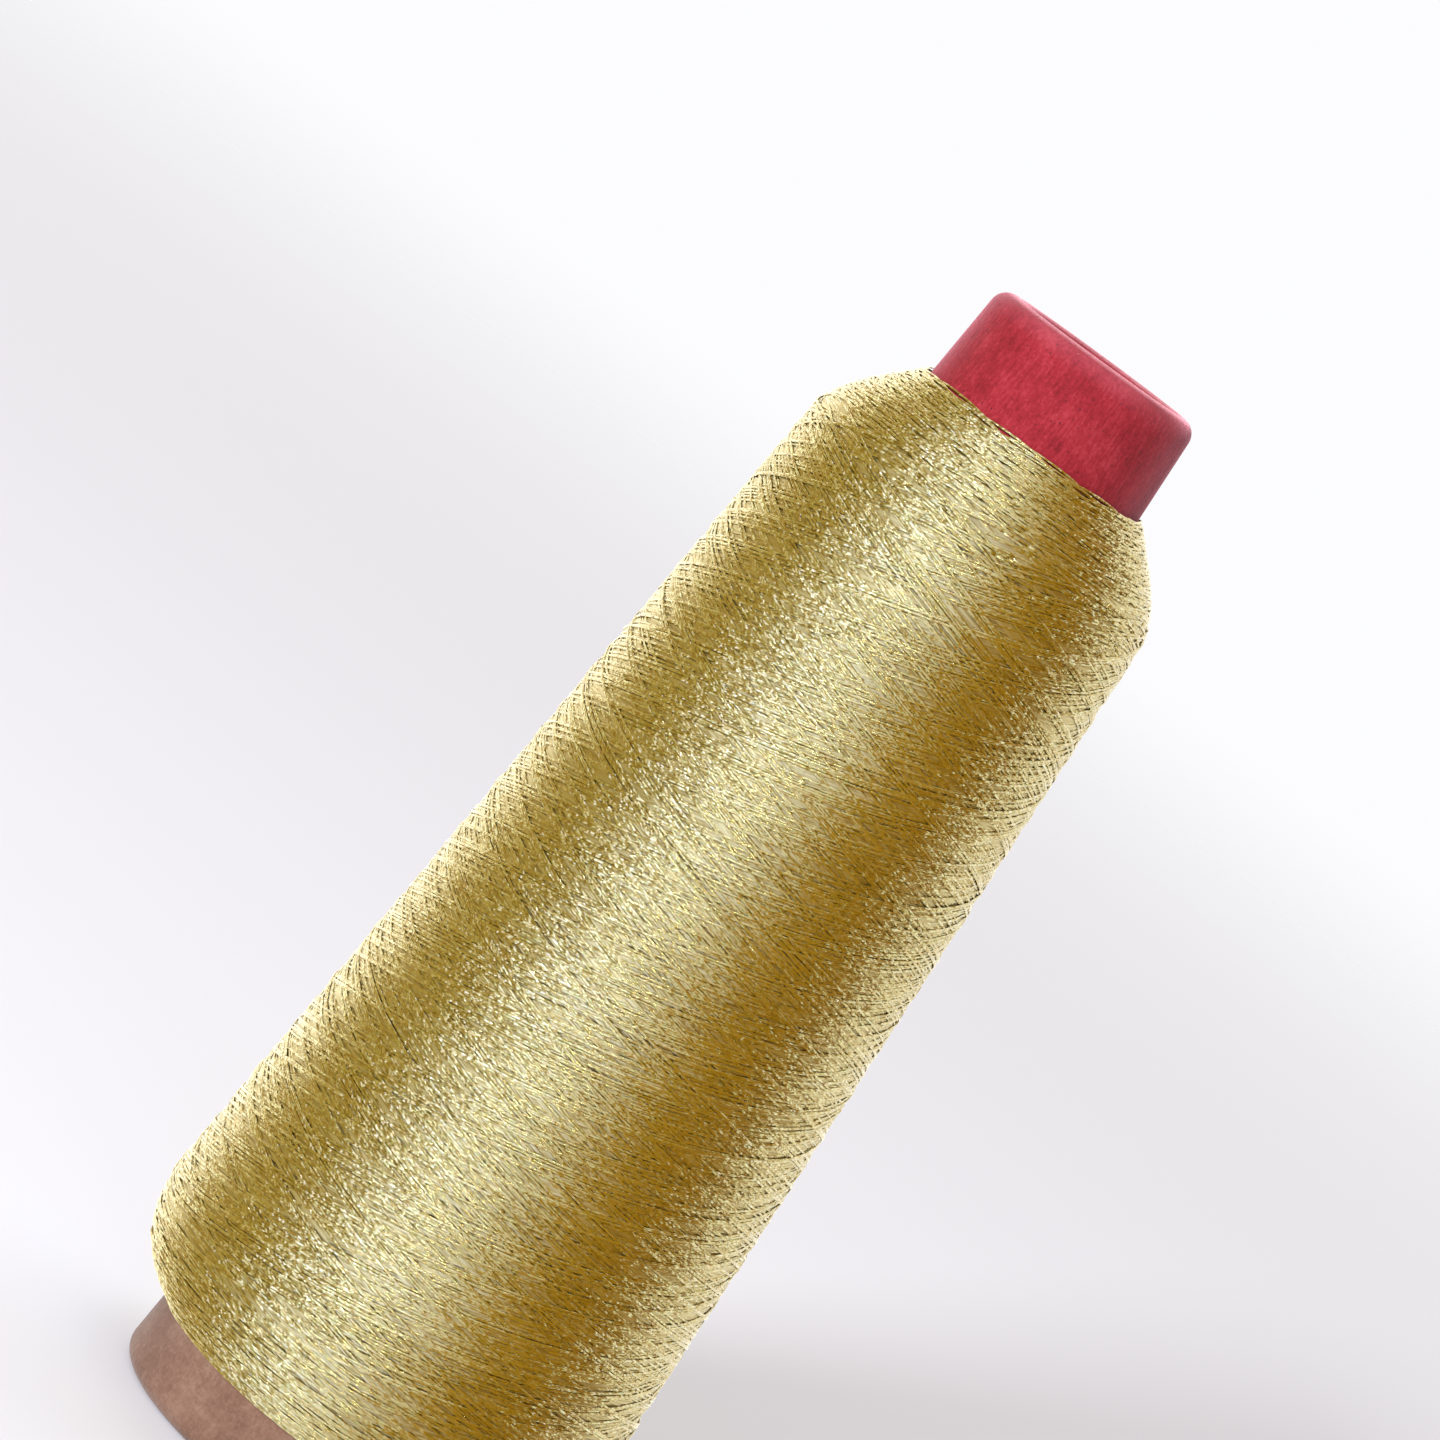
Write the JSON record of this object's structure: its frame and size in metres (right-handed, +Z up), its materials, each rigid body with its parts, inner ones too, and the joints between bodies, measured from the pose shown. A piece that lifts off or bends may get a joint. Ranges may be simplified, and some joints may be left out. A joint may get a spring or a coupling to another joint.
{
  "type": "cone of thread",
  "caption": "Tapered paper cone wound with gold metallic embroidery thread, with a red rounded nose and a brown turned-in base rim.",
  "frame": {"origin": "on the cone's axis, in the plane that the base rim rests on", "axes": "+Z up the axis from the base to the nose; the object is the same all round, so +X and +Y are any two square directions"},
  "size_m": [0.0654, 0.0654, 0.17],
  "materials": {
    "grey_board": "matte",
    "plain_kraft": "matte",
    "brown_kraft": "matte",
    "red_paper": "matte",
    "gold_thread": "satin"
  },
  "bodies": {
    "root": {"board_cone": "grey_board", "inner_ply": "plain_kraft", "kraft_wrap": "brown_kraft", "nose_cover": "red_paper", "thread_package": "gold_thread"}
  },
  "joints": []
}
